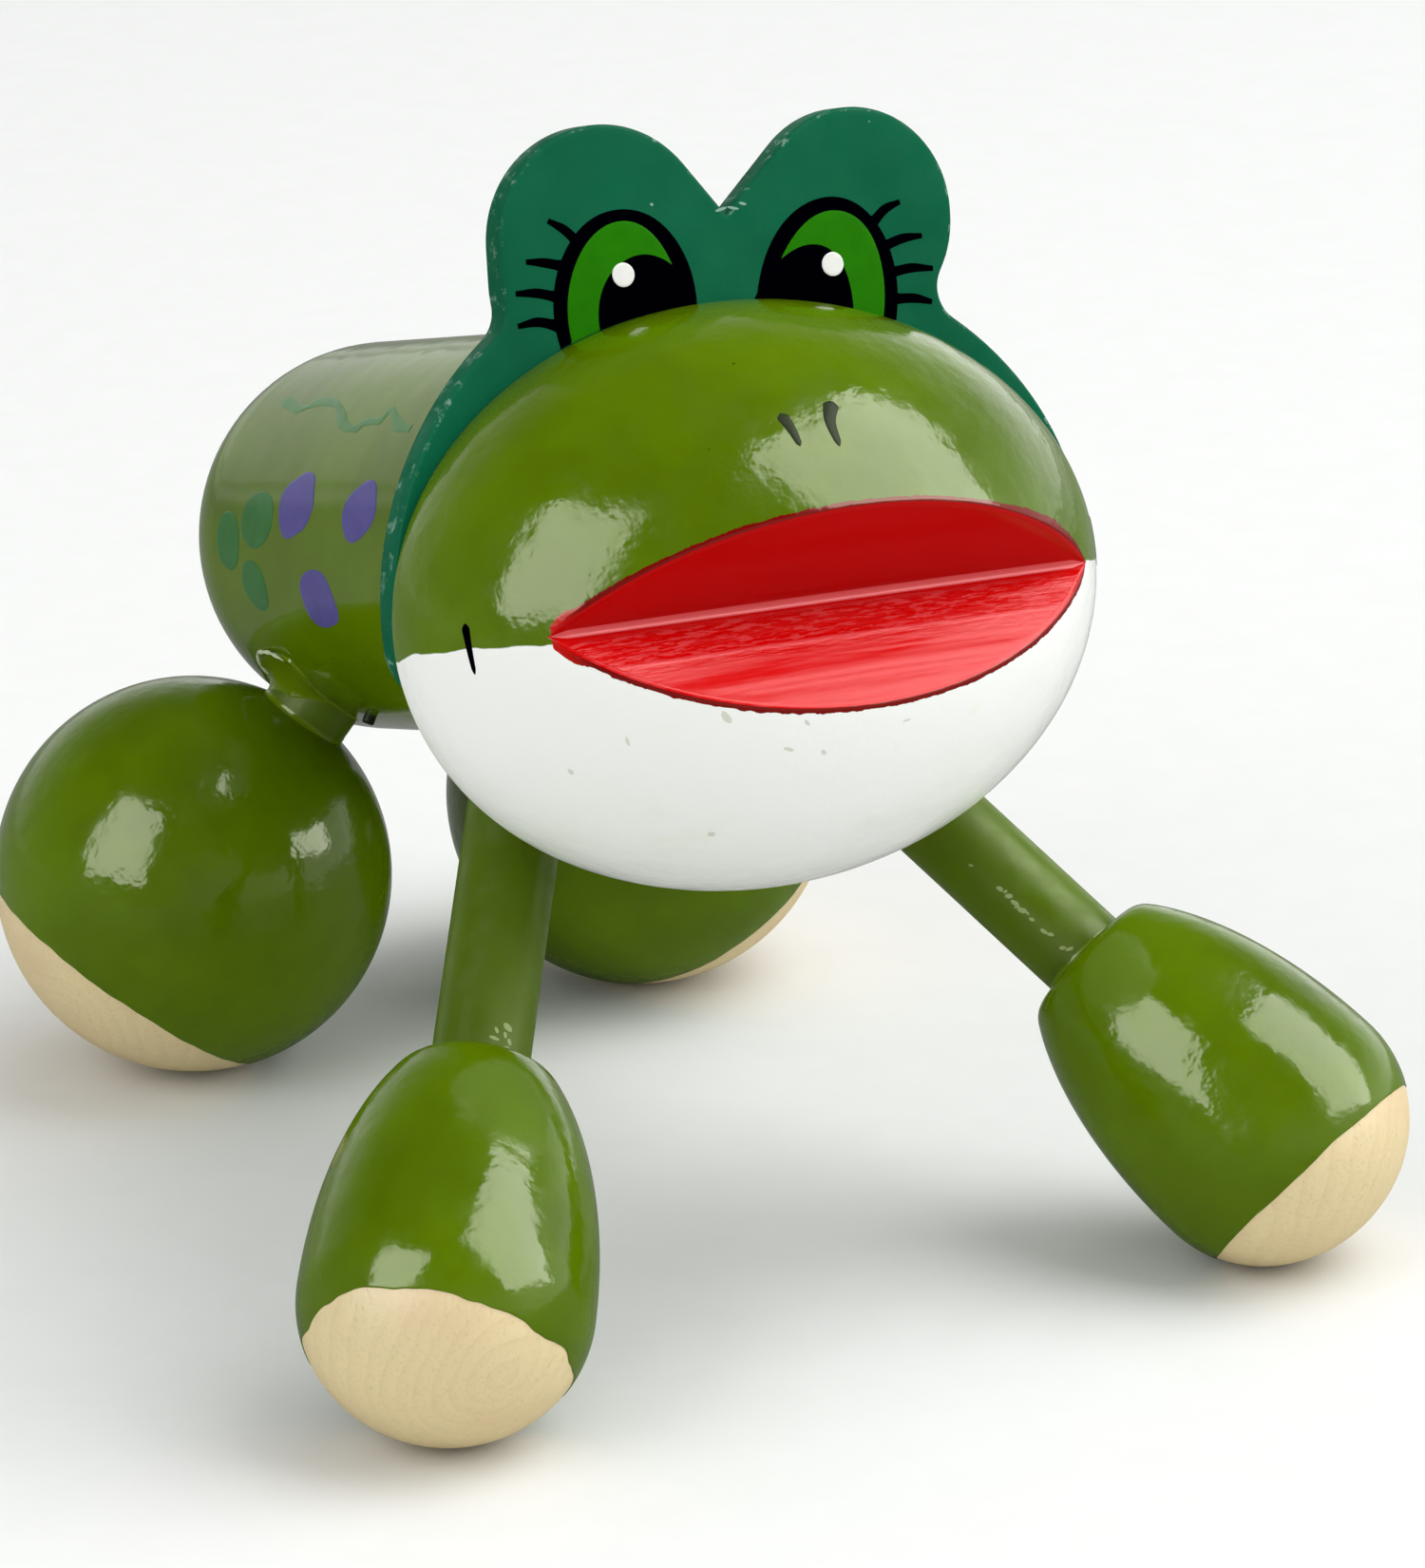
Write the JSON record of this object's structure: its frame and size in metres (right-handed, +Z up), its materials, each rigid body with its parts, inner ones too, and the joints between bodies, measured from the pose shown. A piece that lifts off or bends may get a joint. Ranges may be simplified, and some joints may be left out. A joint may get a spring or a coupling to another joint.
{
  "type": "wooden frog",
  "caption": "Standing frog of turned and painted wood: a round body, an egg-shaped head with a cut mouth, a flat eye board, and dowel legs that end in knobs and balls.",
  "frame": {"origin": "on the ground, under the middle of the frog's length and width", "axes": "+Z up; the frog faces -Y, and +X is the frog's own left side"},
  "size_m": [0.0986, 0.1184, 0.0952],
  "materials": {
    "green_gloss": "glossy olive-green paint on turned wood, with painted spots on the body",
    "dipped_gloss": "glossy olive-green paint on turned wood, with the outer end left as bare wood",
    "head_gloss": "glossy paint on wood: olive-green above, white below, red inside the mouth",
    "teal_gloss": "semi-gloss teal paint on a sawn board, with painted eyes",
    "bare_wood": "bare pale hardwood"
  },
  "bodies": {
    "root": {"body": "green_gloss", "eye_plate": "teal_gloss", "head": "head_gloss", "neck_dowel": "bare_wood", "front_leg_left": "green_gloss", "front_leg_right": "green_gloss", "front_foot_left": "dipped_gloss", "front_foot_right": "dipped_gloss", "rear_leg_left": "green_gloss", "rear_leg_right": "green_gloss", "rear_ball_left": "dipped_gloss", "rear_ball_right": "dipped_gloss"}
  },
  "joints": []
}
